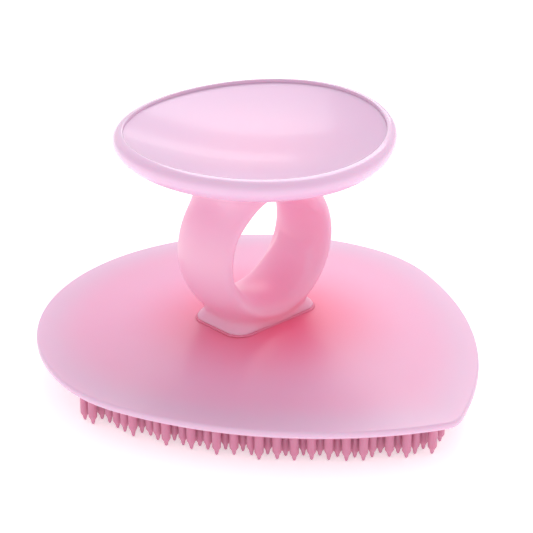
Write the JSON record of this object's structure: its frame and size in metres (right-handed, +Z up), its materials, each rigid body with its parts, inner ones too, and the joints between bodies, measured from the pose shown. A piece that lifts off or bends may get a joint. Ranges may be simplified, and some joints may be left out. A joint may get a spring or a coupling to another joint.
{
  "type": "scalp massager brush",
  "caption": "Handheld scalp massager: dished oval palm rest on a finger ring, over a pointed domed base with a soft pad of short pins.",
  "frame": {"origin": "middle of the footprint, at the level of the pin tips that the brush stands on", "axes": "+Z up from the pins to the palm rest, +Y from the base's pointed end to its round back, +X across the base and along the finger ring's plane"},
  "size_m": [0.085, 0.095, 0.0511],
  "materials": {
    "palm_gloss": "high gloss, faintly translucent lavender pink",
    "palm_shell": "gloss, faintly translucent lavender pink",
    "ring_satin": "satin, translucent pink",
    "seal_rubber": "satin, deep pink",
    "cover_satin": "satin, translucent pink",
    "plate_plastic": "matt pink",
    "pad_rubber": "satin, translucent rose pink",
    "screw_steel": "zinc plated"
  },
  "bodies": {
    "root": {"palm_dish": "palm_gloss", "palm_bowl": "palm_shell", "palm_screws": "screw_steel", "finger_ring": "ring_satin", "foot_seal": "seal_rubber", "base_cover": "cover_satin", "base_screws": "screw_steel", "backing_plate": "plate_plastic", "bristle_pad": "pad_rubber"}
  },
  "joints": []
}
